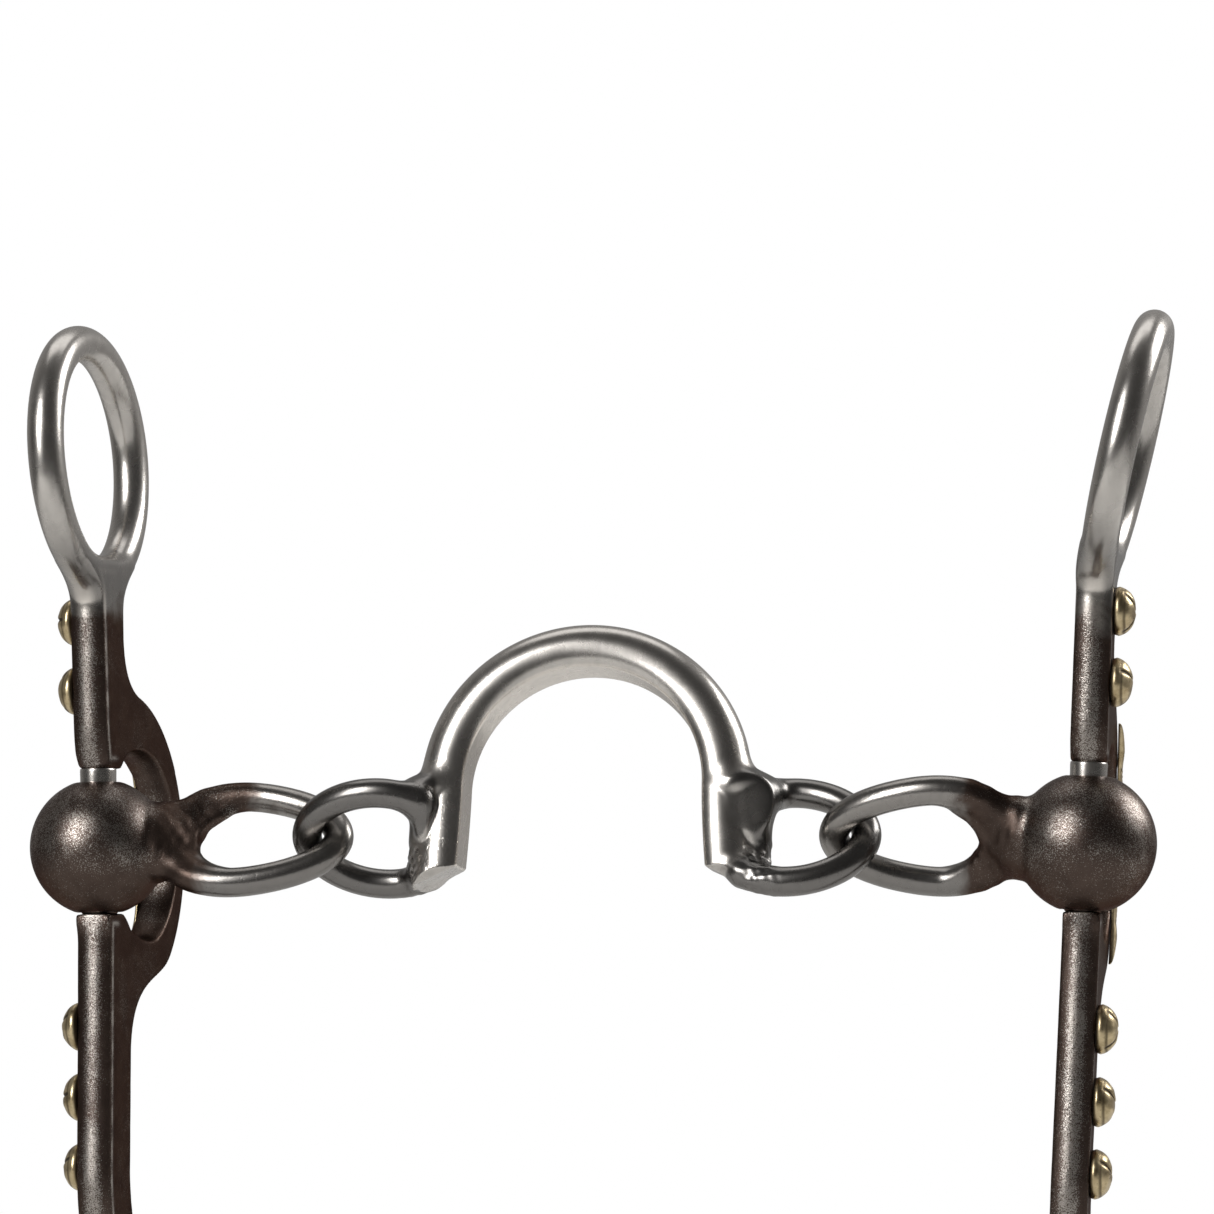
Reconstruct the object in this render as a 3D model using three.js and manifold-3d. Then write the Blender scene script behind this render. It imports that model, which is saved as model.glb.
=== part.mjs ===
// A Western loose-cheek curb bit with a chain-linked port mouthpiece.
//
// Millimetres. The origin is the middle of the mouthpiece, level with the two hinge balls.
// +X runs to the right cheek, +Y from the smooth edge of the cheeks to their crescents, +Z up.
import * as THREE from 'three';
import { mergeVertices } from 'three/addons/utils/BufferGeometryUtils.js';
import Module from 'manifold-3d';

const wasm = await Module();
wasm.setup();

// ---- driving dimensions ----
const GAP = 0.3;                  // clear space left between pieces that touch or are welded
const BALL_RADIUS = 9.525;        // a 3/4 inch ball
const BALL_FLAT = 9.05;           // height of the flats ground at each end of its bore
const BORE_RADIUS = 2.8;
const PIN_RADIUS = 2.5;
const PIN_TOP = 10.9;
const PIN_BOTTOM = -9.3;

const WIRE_RADIUS = 2.02;         // the rod that every chain loop is bent from
const LOOP_AXIS_Z = 1.0;          // the chain runs a little above the ball centres
const LOOP_TILT = 40;             // degrees between each loop's plane and the vertical
const LOOP_HALF_HEIGHT = 7.85;    // centre line, half of a loop's greatest width
const LINK_OVERLAP = 2.2;         // from a loop's rod centre to where two loops bear
const BALL_LINK_LENGTH = 33.9;    // from the ball centre to the rod centre at the loop's tip

const PORT_INNER_RADIUS = 16.4;
const PORT_OFFSET = -0.7;         // the arch sits this far to the left of the middle
const PORT_THICKNESS = 6.5;
const PORT_DEPTH = 8.5;
const PORT_CENTRE_Z = 8.0;        // height of the arch's centre
const PORT_LEG_LENGTH = 18;       // before the slanting end cuts
const PORT_LEG_SPLAY = 0.8;       // how far the legs open outward at their feet
const PORT_LEAN = 12;             // degrees that the top of the arch leans towards +Y
const PORT_END_SLANT = 28;        // degrees between the end cuts and the horizontal
const PORT_END_Z = -2.4;          // height of the end cuts at the legs' inner corners

const PLATE_THICKNESS = 5.1;      // 5 mm bar, a little over 3/16 inch
const PLATE_BEVEL = 0.7;
const SHANK_NEAR = -4.4;          // edges of the straight shank, across the cheek
const SHANK_FAR = 4.5;
const SHANK_WAIST = -2.8;         // the near edge is drawn in beside the ball
const RING_RADIUS = 15.8;
const RING_BAR_RADIUS = 2.5;
const RING_CENTRE = 54.3;
const NECK_SPLIT = 32.5;          // where the ring's neck is welded to the shank
const FLARE_PIVOT = 36;           // the headstall ring is bent outward from here

const CRESCENT_CENTRE = 5;
const CRESCENT_RADIUS = 22.1;
const SLOT_CENTRE = 10;
const SLOT_RADIUS = 13.4;
const OVERLAY_THICKNESS = 1.1;

const BEND_START = -45;           // where the lower shank starts to sweep back
const BEND_ANGLE = 50;            // degrees
const BEND_RADIUS = 26;
const BEND_STRAIGHT = 8;
const RETURN_RADIUS = 24;
const LOWER_HALF_WIDTH = 4.5;
const EYE_DROP = 18;              // from the end of the return bend to the eye
const EYE_RADIUS = 8.2;
const EYE_HOLE_RADIUS = 3.4;
const REIN_RING_RADIUS = 17;
const REIN_WIRE_RADIUS = 2.0;
const REIN_WIRE_DROP = 0.85;      // the ring's rod rests this far below the eye's centre

const STUD_RADIUS = 3.4;
const STUD_HEIGHT = 2.9;
const STUD_HEIGHTS = [31.3, 21.7, -24.7, -34.4, -44.0];
const STUD_SPACING = 9.7;
const HIDDEN_STUDS = 2;           // further studs, around the bend of the lower shank

// Each side as it hangs: where its two loops bear, how far its cheek is swivelled on the pin
// (far edge towards +X), how its pin leans, and how far its headstall ring is bent outward.
const SIDES = [
  { name: 'left', out: -1, bearing: 37.06, swivel: 6.5, lean: -1.1, flare: 2.5 },
  { name: 'right', out: 1, bearing: 35.75, swivel: -0.7, lean: 2.8, flare: 10.9 },
];

const degrees = THREE.MathUtils.degToRad;

// ---- finishes ----
const finish = (color, roughness, metalness = 1) =>
  new THREE.MeshStandardMaterial({ color, roughness, metalness });
const satinSteel = () => finish(0xa8a29c, 0.3);
const darkSteel = () => finish(0x5d5b5a, 0.3);
const brownSteel = () => finish(0x463a35, 0.45);
const antiqueBrass = () => finish(0xa08c5c, 0.38);

// ---- solids ----
function solid(geometry) {
  const bare = geometry.clone();
  bare.deleteAttribute('normal');
  bare.deleteAttribute('uv');
  const merged = mergeVertices(bare, 1e-4);
  return new wasm.Manifold(new wasm.Mesh({
    numProp: 3,
    vertProperties: new Float32Array(merged.attributes.position.array),
    triVerts: new Uint32Array(merged.index.array),
  }));
}

function geometryOf(manifold) {
  const mesh = manifold.getMesh();
  const geometry = new THREE.BufferGeometry();
  geometry.setAttribute('position', new THREE.BufferAttribute(mesh.vertProperties, 3));
  geometry.setIndex(new THREE.BufferAttribute(mesh.triVerts, 1));
  geometry.computeVertexNormals();
  return geometry;
}

function named(name, geometry, material) {
  const mesh = new THREE.Mesh(geometry, material);
  mesh.name = name;
  return mesh;
}

// A shape drawn across the cheek (its x to +Y, its y to +Z) as a plate centred on the YZ plane.
function plate(shape, thickness, bevel, curveSegments = 12) {
  const geometry = new THREE.ExtrudeGeometry(shape, {
    depth: thickness - 2 * bevel,
    bevelEnabled: bevel > 0,
    bevelThickness: bevel,
    bevelSize: bevel,
    bevelOffset: -bevel,
    bevelSegments: 1,
    curveSegments,
  });
  geometry.translate(0, 0, bevel - thickness / 2);
  geometry.rotateX(Math.PI / 2);
  geometry.rotateZ(Math.PI / 2);
  return geometry;
}

function rod(points, steps, radius = WIRE_RADIUS, sides = 8) {
  const section = new THREE.Shape(new THREE.EllipseCurve(0, 0, radius, radius).getPoints(sides));
  return new THREE.ExtrudeGeometry(section, {
    extrudePath: new THREE.CatmullRomCurve3(points, false, 'centripetal'),
    steps,
    bevelEnabled: false,
  });
}

// ---- the port: a D-section bar bent into an arch, its flat side inward ----
class PortPath extends THREE.Curve {
  // Runs along the bar's inner face, from the foot of the left leg to the foot of the right one.
  getPoint(t, target = new THREE.Vector3()) {
    const arc = Math.PI * PORT_INNER_RADIUS;
    const along = t * (arc + 2 * PORT_LEG_LENGTH);
    const angle = Math.PI * (1 - (along - PORT_LEG_LENGTH) / arc);
    if (angle > 0 && angle < Math.PI) {
      const x = PORT_INNER_RADIUS * Math.cos(angle);
      return target.set(x, 0, PORT_CENTRE_Z + PORT_INNER_RADIUS * Math.sin(angle));
    }
    const side = angle > 0 ? -1 : 1;
    const drop = angle > 0 ? PORT_LEG_LENGTH - along : along - PORT_LEG_LENGTH - arc;
    const splay = PORT_LEG_SPLAY * (drop / PORT_LEG_LENGTH) ** 2;
    return target.set(side * (PORT_INNER_RADIUS + splay), 0, PORT_CENTRE_Z - drop);
  }
}

function portSection(margin) {
  const half = PORT_DEPTH / 2 + margin;
  const section = new THREE.Shape();
  section.moveTo(half, margin);
  section.lineTo(-half, margin);
  section.absellipse(0, margin, half, PORT_THICKNESS + 2 * margin, Math.PI, 2 * Math.PI);
  return section;
}

function endCut(side) {
  const size = 40;
  const cut = new THREE.BoxGeometry(size, size, size);
  cut.translate(0, 0, -size / 2);
  cut.rotateY(side * degrees(PORT_END_SLANT));
  cut.translate(side * (PORT_INNER_RADIUS + PORT_LEG_SPLAY / 2), 0, PORT_END_Z);
  return solid(cut);
}

// The bar as it lies in the mouthpiece. A margin makes the slightly larger bar that welds clear.
function portBar(margin = 0) {
  const bar = solid(new THREE.ExtrudeGeometry(portSection(margin), {
    extrudePath: new PortPath(),
    steps: 28,
    curveSegments: 7,
    bevelEnabled: false,
  }));
  const cut = margin > 0 ? bar : bar.subtract(endCut(-1)).subtract(endCut(1));
  const geometry = geometryOf(cut);
  geometry.translate(PORT_OFFSET, 0, -LOOP_AXIS_Z);
  geometry.rotateX(-degrees(PORT_LEAN));
  geometry.translate(0, 0, LOOP_AXIS_Z);
  return geometry;
}

// ---- the chain: every loop is drawn as on the left side, along -X ----
// A loop's centre line is mirrored about the chain's axis: each entry is [distance, half height].
function loopPath(halfOutline, tip, tilt) {
  const up = new THREE.Vector3(0, Math.sin(degrees(tilt)), Math.cos(degrees(tilt)));
  const place = ([distance, height]) =>
    new THREE.Vector3(-distance, 0, LOOP_AXIS_Z).addScaledVector(up, height);
  const upper = halfOutline.map(place);
  const lower = halfOutline.map(([distance, height]) => place([distance, -height])).reverse();
  return [...upper, place([tip, 0]), ...lower];
}

function portLoop(bearing) {
  const tip = bearing + LINK_OVERLAP;
  const wide = LOOP_HALF_HEIGHT;
  const outline = [
    [tip - 20.5, wide * 0.52],
    [tip - 17, wide * 0.84],
    [tip - 13, wide * 0.99],
    [tip - 8.8, wide],
    [tip - 4.3, wide * 0.8],
    [tip - 1.1, wide * 0.42],
  ];
  return solid(rod(loopPath(outline, tip, -LOOP_TILT), 32));
}

function ballLoop(bearing) {
  const tip = bearing - LINK_OVERLAP;
  const ball = tip + BALL_LINK_LENGTH;
  const wide = LOOP_HALF_HEIGHT;
  const outline = [
    [tip + 25.2, wide * 0.32],
    [tip + 22.6, wide * 0.6],
    [tip + 19.3, wide * 0.88],
    [tip + 14.8, wide],
    [tip + 9, wide * 0.9],
    [tip + 3.7, wide * 0.63],
    [tip + 0.9, wide * 0.32],
  ];
  const wire = solid(rod(loopPath(outline, tip, LOOP_TILT), 40));

  // The flared neck that the ball is welded to, flattened across the plane of the loop.
  const profile = [[0, 0], [5.7, 0], [5.3, 2.4], [4.6, 4.6], [2.6, 6.6], [0, 7.2]];
  const neck = new THREE.LatheGeometry(profile.map(([r, h]) => new THREE.Vector2(r, h)), 16);
  neck.rotateZ(-Math.PI / 2);
  neck.scale(1, 1, 0.55);
  neck.rotateX(Math.PI / 2);
  neck.rotateX(-degrees(LOOP_TILT));
  neck.translate(-(ball - BALL_RADIUS + 2.2), 0, LOOP_AXIS_Z * 0.5);

  const clear = new THREE.SphereGeometry(BALL_RADIUS + GAP, 24, 16);
  clear.translate(-ball, 0, 0);
  return wire.add(solid(neck)).subtract(solid(clear));
}

function hingeBall() {
  const steps = 10;
  const start = Math.asin(BALL_FLAT / BALL_RADIUS);
  const profile = [new THREE.Vector2(BORE_RADIUS, -BALL_FLAT)];
  for (let i = 0; i <= steps; i++) {
    const angle = start * (2 * i / steps - 1);
    profile.push(new THREE.Vector2(BALL_RADIUS * Math.cos(angle), BALL_RADIUS * Math.sin(angle)));
  }
  profile.push(new THREE.Vector2(BORE_RADIUS, BALL_FLAT));
  profile.push(profile[0]);
  const ball = new THREE.LatheGeometry(profile, 24);
  ball.rotateX(Math.PI / 2);
  return ball;
}

function hingePin() {
  const pin = new THREE.CylinderGeometry(PIN_RADIUS, PIN_RADIUS, PIN_TOP - PIN_BOTTOM, 24);
  pin.rotateX(Math.PI / 2);
  pin.translate(0, 0, (PIN_TOP + PIN_BOTTOM) / 2);
  return pin;
}

// ---- the cheek, drawn in its own plane: x across towards the crescent, y up ----
function along(point, angle, distance) {
  return point.clone().add(new THREE.Vector2(Math.cos(angle), Math.sin(angle)).multiplyScalar(distance));
}

const bend = degrees(BEND_ANGLE);
const bendCentre = new THREE.Vector2((SHANK_NEAR + SHANK_FAR) / 2 + BEND_RADIUS, BEND_START);
const bendEnd = along(bendCentre, Math.PI + bend, BEND_RADIUS);
const returnStart = along(bendEnd, bend - Math.PI / 2, BEND_STRAIGHT);
const returnCentre = along(returnStart, Math.PI + bend, RETURN_RADIUS);
const eyeCentre = new THREE.Vector2(returnCentre.x + RETURN_RADIUS, returnCentre.y - EYE_DROP);

function shankShape() {
  const shape = new THREE.Shape();
  const half = LOWER_HALF_WIDTH;
  const shankHalf = (SHANK_FAR - SHANK_NEAR) / 2;
  const eyeJoin = Math.acos(half / EYE_RADIUS);

  // down the near edge, from the neck to the pin's upper seat
  shape.moveTo(SHANK_NEAR, NECK_SPLIT - GAP / 2);
  shape.lineTo(SHANK_NEAR + 0.7, 14.5);
  shape.quadraticCurveTo(SHANK_NEAR + 0.7, 12.3, -PIN_RADIUS, PIN_TOP + GAP);
  shape.lineTo(PIN_RADIUS, PIN_TOP + GAP);
  // round the slot behind the ball, to the pin's lower seat
  shape.quadraticCurveTo(5, SLOT_RADIUS - 0.6, SLOT_CENTRE - 2.2, SLOT_RADIUS - 0.1);
  shape.absarc(SLOT_CENTRE, 0, SLOT_RADIUS, degrees(98), degrees(-60), true);
  shape.bezierCurveTo(14, -13.3, 9.5, -12.6, 5.5, -11);
  shape.lineTo(2.6, PIN_BOTTOM - GAP);
  shape.lineTo(SHANK_WAIST, PIN_BOTTOM - GAP);
  // down the near edge and round the lower shank to the eye
  shape.lineTo(SHANK_NEAR, BEND_START);
  shape.absarc(bendCentre.x, bendCentre.y, BEND_RADIUS + shankHalf, Math.PI, Math.PI + bend, false);
  shape.absarc(returnCentre.x, returnCentre.y, RETURN_RADIUS - half, bend, 0, true);
  shape.absarc(eyeCentre.x, eyeCentre.y, EYE_RADIUS, Math.PI - eyeJoin, 2 * Math.PI + eyeJoin, false);
  // back up the far edge
  shape.absarc(returnCentre.x, returnCentre.y, RETURN_RADIUS + half, 0, bend, false);
  shape.absarc(bendCentre.x, bendCentre.y, BEND_RADIUS - shankHalf, Math.PI + bend, Math.PI, true);
  shape.lineTo(SHANK_FAR + 0.9, -28);
  // the crescent
  shape.bezierCurveTo(6.5, -18, 17, -19.2, 20.6, -15.6);
  shape.absarc(CRESCENT_CENTRE, 0, CRESCENT_RADIUS, degrees(-45), degrees(75.6), false);
  shape.quadraticCurveTo(SHANK_FAR + 0.3, 22.8, SHANK_FAR, 29);
  shape.lineTo(SHANK_FAR, NECK_SPLIT - GAP / 2);
  shape.closePath();

  const hole = new THREE.Path();
  hole.absarc(eyeCentre.x, eyeCentre.y, EYE_HOLE_RADIUS, 0, 2 * Math.PI, false);
  shape.holes.push(hole);
  return shape;
}

function cheekPlate() {
  return plate(shankShape(), PLATE_THICKNESS, PLATE_BEVEL, 7);
}

function headstallRing(out, flare) {
  const join = 8.5;
  const neckTop = RING_CENTRE - RING_RADIUS + 1.8;
  const neckShape = new THREE.Shape();
  neckShape.moveTo(SHANK_NEAR, NECK_SPLIT + GAP / 2);
  neckShape.lineTo(SHANK_FAR, NECK_SPLIT + GAP / 2);
  neckShape.quadraticCurveTo(SHANK_FAR, 37, join, neckTop);
  neckShape.lineTo(-join, neckTop);
  neckShape.quadraticCurveTo(SHANK_NEAR, 37, SHANK_NEAR, NECK_SPLIT + GAP / 2);

  const ring = new THREE.TorusGeometry(RING_RADIUS, RING_BAR_RADIUS, 8, 32);
  ring.rotateY(Math.PI / 2);
  ring.translate(0, 0, RING_CENTRE - FLARE_PIVOT);
  ring.rotateY(out * degrees(flare));
  ring.translate(0, 0, FLARE_PIVOT);
  return geometryOf(solid(plate(neckShape, PLATE_THICKNESS, PLATE_BEVEL, 6)).add(solid(ring)));
}

// An engraved brass crescent, pointed at both ends, that lies on the crescent's outer face.
function crescentOverlay(out) {
  const outer = CRESCENT_RADIUS - 0.6;
  const tip = degrees(51);
  const start = along(new THREE.Vector2(CRESCENT_CENTRE, 0.5), -tip, outer);
  const shape = new THREE.Shape();
  shape.absarc(CRESCENT_CENTRE, 0.5, outer, -tip, tip, false);
  shape.quadraticCurveTo(22.6, 10, SLOT_CENTRE + SLOT_RADIUS + 0.5, 1);
  shape.quadraticCurveTo(22.8, -9.5, start.x, start.y);
  const overlay = plate(shape, OVERLAY_THICKNESS, 0, 9);
  overlay.translate(out * (PLATE_THICKNESS / 2 + GAP + OVERLAY_THICKNESS / 2), 0, 0);
  return overlay;
}

function stud(out, across, height) {
  const profile = [[0, 0], [0.9, 0], [1, 0.24], [0.86, 0.6], [0.5, 0.92], [0, 1]];
  const points = profile.map(([r, h]) => new THREE.Vector2(r * STUD_RADIUS, h * STUD_HEIGHT));
  const dome = new THREE.LatheGeometry(points, 10);
  dome.rotateZ(-out * Math.PI / 2);
  dome.translate(out * (PLATE_THICKNESS / 2 + GAP), across, height);
  return dome;
}

// Stud centres down the cheek: along the straight shank, then on round the bend.
function studCentres() {
  const middle = (SHANK_NEAR + SHANK_FAR) / 2;
  const centres = STUD_HEIGHTS.map((height) => new THREE.Vector2(middle, height));
  const last = STUD_HEIGHTS[STUD_HEIGHTS.length - 1];
  for (let i = 1; i <= HIDDEN_STUDS; i++) {
    const past = i * STUD_SPACING - (last - BEND_START);
    centres.push(along(bendCentre, Math.PI + past / BEND_RADIUS, BEND_RADIUS));
  }
  return centres;
}

function reinRing() {
  const ring = new THREE.TorusGeometry(REIN_RING_RADIUS, REIN_WIRE_RADIUS, 8, 26);
  ring.rotateX(Math.PI / 2);
  ring.translate(0, eyeCentre.x, eyeCentre.y - REIN_WIRE_DROP - REIN_RING_RADIUS);
  return ring;
}

// ---- assembly ----
const bit = new THREE.Group();
bit.add(named('port_bar', portBar(), satinSteel()));
const clearOfPort = solid(portBar(GAP));

for (const { name, out, bearing, swivel, lean, flare } of SIDES) {
  // The right chain is the left one turned half a turn about the upright axis.
  const chain = new THREE.Group();
  chain.rotation.z = out > 0 ? Math.PI : 0;
  const clearPort = out > 0 ? clearOfPort.rotate([0, 0, 180]) : clearOfPort;
  chain.add(named(`${name}_port_loop`, geometryOf(portLoop(bearing).subtract(clearPort)), darkSteel()));
  chain.add(named(`${name}_ball_loop`, geometryOf(ballLoop(bearing)), darkSteel()));
  bit.add(chain);

  const hinge = new THREE.Group();
  hinge.position.x = out * (bearing - LINK_OVERLAP + BALL_LINK_LENGTH);
  hinge.rotation.y = degrees(lean);
  hinge.add(named(`${name}_ball`, hingeBall(), brownSteel()));
  bit.add(hinge);

  const cheek = new THREE.Group();
  cheek.rotation.z = -degrees(swivel);
  cheek.add(named(`${name}_hinge_pin`, hingePin(), satinSteel()));
  cheek.add(named(`${name}_cheek_plate`, cheekPlate(), brownSteel()));
  cheek.add(named(`${name}_headstall_ring`, headstallRing(out, flare), satinSteel()));
  cheek.add(named(`${name}_crescent_overlay`, crescentOverlay(out), antiqueBrass()));
  cheek.add(named(`${name}_rein_ring`, reinRing(), satinSteel()));
  studCentres().forEach((centre, i) => {
    cheek.add(named(`${name}_stud_${i + 1}`, stud(out, centre.x, centre.y), antiqueBrass()));
  });
  hinge.add(cheek);
}

export default bit;
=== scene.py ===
import functools
import math

import bmesh
import bpy
import numpy as np
from mathutils import Matrix, Vector


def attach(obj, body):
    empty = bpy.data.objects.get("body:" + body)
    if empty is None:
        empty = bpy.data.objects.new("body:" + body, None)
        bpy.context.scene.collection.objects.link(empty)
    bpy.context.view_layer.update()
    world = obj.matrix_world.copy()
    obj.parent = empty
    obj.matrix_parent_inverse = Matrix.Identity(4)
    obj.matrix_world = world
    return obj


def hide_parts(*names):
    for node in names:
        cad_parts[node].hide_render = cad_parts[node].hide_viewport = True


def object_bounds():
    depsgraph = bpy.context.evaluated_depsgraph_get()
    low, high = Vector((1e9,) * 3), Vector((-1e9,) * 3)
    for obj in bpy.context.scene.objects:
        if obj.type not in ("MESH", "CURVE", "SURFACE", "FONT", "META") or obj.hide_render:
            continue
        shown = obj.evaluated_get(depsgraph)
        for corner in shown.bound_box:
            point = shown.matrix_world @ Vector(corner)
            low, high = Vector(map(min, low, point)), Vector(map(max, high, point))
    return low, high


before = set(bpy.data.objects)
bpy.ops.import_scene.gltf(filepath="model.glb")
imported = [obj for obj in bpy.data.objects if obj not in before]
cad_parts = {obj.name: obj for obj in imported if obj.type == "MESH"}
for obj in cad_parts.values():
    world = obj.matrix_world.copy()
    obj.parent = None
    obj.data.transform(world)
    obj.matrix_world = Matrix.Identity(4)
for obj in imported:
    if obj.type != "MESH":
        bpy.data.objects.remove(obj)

# A Western loose-cheek curb bit: an arched port, welded chain loops, hinge balls, browned cheeks.
# Shapes are worked out in millimetres in the row frame and stored in metres. The welded steel
# pieces are skinned from distance fields, which lets them flow together as they really do. The
# pins, studs, overlays and rein rings are built as rows of points.
cad_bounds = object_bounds()
MM = 0.001

# ---- the same driving sizes as the CAD, in millimetres ----
BALL_RADIUS = 9.525
BALL_FLAT = 9.05
BORE_RADIUS = 2.8
PIN_RADIUS = 2.5
PIN_TOP = 10.9
PIN_BOTTOM = -9.3
WIRE_RADIUS = 2.02
LOOP_AXIS_Z = 1.0
LOOP_TILT = math.radians(40)
LOOP_HALF_HEIGHT = 7.85
LINK_OVERLAP = 2.2
BALL_LINK_LENGTH = 33.9
PORT_INNER_RADIUS = 16.4
PORT_OFFSET = -0.7
PORT_THICKNESS = 6.5
PORT_DEPTH = 8.5
PORT_CENTRE_Z = 8.0
PORT_LEG_LENGTH = 18
PORT_LEG_SPLAY = 0.8
PORT_LEAN = math.radians(12)
PORT_BULGE_HEIGHT = 2.6
PORT_FULLNESS = 2.15
PORT_END_Z = -2.6
PLATE_THICKNESS = 5.1
SHANK_NEAR = -4.4
SHANK_FAR = 4.5
SHANK_WAIST = -2.8
SEAT_Z = -9.12
RING_RADIUS = 15.8
RING_BAR_RADIUS = 2.5
RING_CENTRE = 54.3
FLARE_PIVOT = 36
CRESCENT_CENTRE = 5
CRESCENT_RADIUS = 22.1
SLOT_CENTRE = 10
SLOT_RADIUS = 13.4
OVERLAY_THICKNESS = 1.1
GAP = 0.3
BEND_START = -45
BEND_ANGLE = math.radians(50)
BEND_RADIUS = 26
BEND_STRAIGHT = 8
RETURN_RADIUS = 24
LOWER_HALF_WIDTH = 4.5
EYE_DROP = 18
EYE_RADIUS = 8.2
EYE_HOLE_RADIUS = 3.4
REIN_RING_RADIUS = 17
REIN_WIRE_RADIUS = 2.0
REIN_WIRE_DROP = 0.85
STUD_RADIUS = 3.4
STUD_HEIGHT = 2.9
STUD_HEIGHTS = [31.3, 21.7, -24.7, -34.4, -44.0]
STUD_SPACING = 9.7
HIDDEN_STUDS = 2
HALF_TURN = np.array([-1, -1, 1])

# bearing: how far from the middle the two loops bear on each other. In degrees, swivel is the
# cheek's turn on its pin, lean its tilt in the view, and flare the outward bend of its ring.
SIDES = [
    {"name": "left", "out": -1, "bearing": 37.06, "swivel": 6.5, "lean": -1.1, "flare": 2.5},
    {"name": "right", "out": 1, "bearing": 35.75, "swivel": -0.7, "lean": 2.8, "flare": 10.9},
]


# ---- distance fields: every function takes points as rows and returns one distance each ----
def unite(a, b, k):
    """Smooth union of two fields, with a fillet of about k."""
    h = np.clip(0.5 + 0.5 * (b - a) / k, 0, 1)
    return b + (a - b) * h - k * h * (1 - h)


def overlap(a, b, k):
    """Smooth intersection of two fields, with its edge rounded by about k."""
    return -unite(-a, -b, k)


def ellipsoid(p, centre, axes, sizes):
    """Near-surface distance to an ellipsoid; axes holds its unit axes as rows."""
    q = (p - centre) @ np.asarray(axes).T
    sizes = np.asarray(sizes)
    r = np.linalg.norm(q / sizes, axis=1)
    slope = np.linalg.norm(q / sizes**2, axis=1)
    return r * (r - 1) / np.maximum(slope, 1e-6)


def spline(points, count):
    """A smooth curve through the points: positions, first and second derivatives, by length."""
    p = np.asarray(points, float)
    t = np.concatenate([[0], np.cumsum(np.linalg.norm(np.diff(p, axis=0), axis=1))])
    n = len(p)
    h = np.diff(t)
    a = np.eye(n)
    b = np.zeros((n, 3))
    for i in range(1, n - 1):
        a[i, i - 1 : i + 2] = h[i - 1], 2 * (h[i - 1] + h[i]), h[i]
        b[i] = 6 * ((p[i + 1] - p[i]) / h[i] - (p[i] - p[i - 1]) / h[i - 1])
    m = np.linalg.solve(a, b)
    s = np.linspace(0, t[-1], count)
    i = np.clip(np.searchsorted(t, s) - 1, 0, n - 2)
    u, v, g = (s - t[i])[:, None], (t[i + 1] - s)[:, None], h[i][:, None]
    c0, c1 = p[i] / g - m[i] * g / 6, p[i + 1] / g - m[i + 1] * g / 6
    place = m[i] * v**3 / (6 * g) + m[i + 1] * u**3 / (6 * g) + c0 * v + c1 * u
    first = -m[i] * v**2 / (2 * g) + m[i + 1] * u**2 / (2 * g) - c0 + c1
    second = (m[i] * v + m[i + 1] * u) / g
    return place, first, second


def curve_distance(p, curve):
    """Distance to a curve made by spline(), for each point."""
    place, first, second = curve
    step = 20000
    near = np.empty(len(p), int)
    for k in range(0, len(p), step):
        q = p[k : k + step]
        near[k : k + step] = np.argmin((place**2).sum(1) - 2 * q @ place.T, axis=1)
    c, d1, d2 = place[near], first[near], second[near]
    out = p - c
    bend = (d1**2).sum(1) - (out * d2).sum(1)
    ds = (out * d1).sum(1) / np.maximum(bend, 0.2)
    inner = np.clip(ds, -0.5, 0.5)
    ends = (near == 0) | (near == len(place) - 1)
    ds = np.where(ends, ds * ((near == 0) & (ds > 0) | (near > 0) & (ds < 0)), inner)
    closest = c + d1 * ds[:, None] + d2 * (ds**2)[:, None] / 2
    return np.linalg.norm(p - closest, axis=1)


def ripple(p, length, seed, waves=7):
    """Smooth seeded noise between about -1 and 1, with features of that length."""
    rng = np.random.default_rng(seed)
    total = np.zeros(len(p))
    for _ in range(waves):
        way = rng.normal(size=3)
        way *= 2 * math.pi / length * rng.uniform(0.6, 1.4) / np.linalg.norm(way)
        total += np.sin(p @ way + rng.uniform(0, 2 * math.pi))
    return total / math.sqrt(waves) * 0.8


def ramp(x, low, high):
    """0 at low, 1 at high, smooth between."""
    t = np.clip((x - low) / (high - low), 0, 1)
    return t * t * (3 - 2 * t)


def turn(p, axis, angle, pivot=(0, 0, 0)):
    """The points turned about an axis through pivot. The angle may be one per point."""
    a = np.asarray(axis, float)
    q = p - np.asarray(pivot, float)
    c, s = np.cos(angle), np.sin(angle)
    if np.ndim(angle):
        c, s = c[:, None], s[:, None]
    return q * c + np.cross(a, q) * s + (q @ a)[:, None] * a * (1 - c) + pivot


# ---- skinning a field: surface nets, then relaxed and settled on the exact surface ----
def gradient(field, p):
    """The field's slope at each point, by small central steps."""
    e = 0.02
    return np.stack([(field(p + v) - field(p - v)) / (2 * e) for v in np.eye(3) * e], axis=1)


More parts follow.
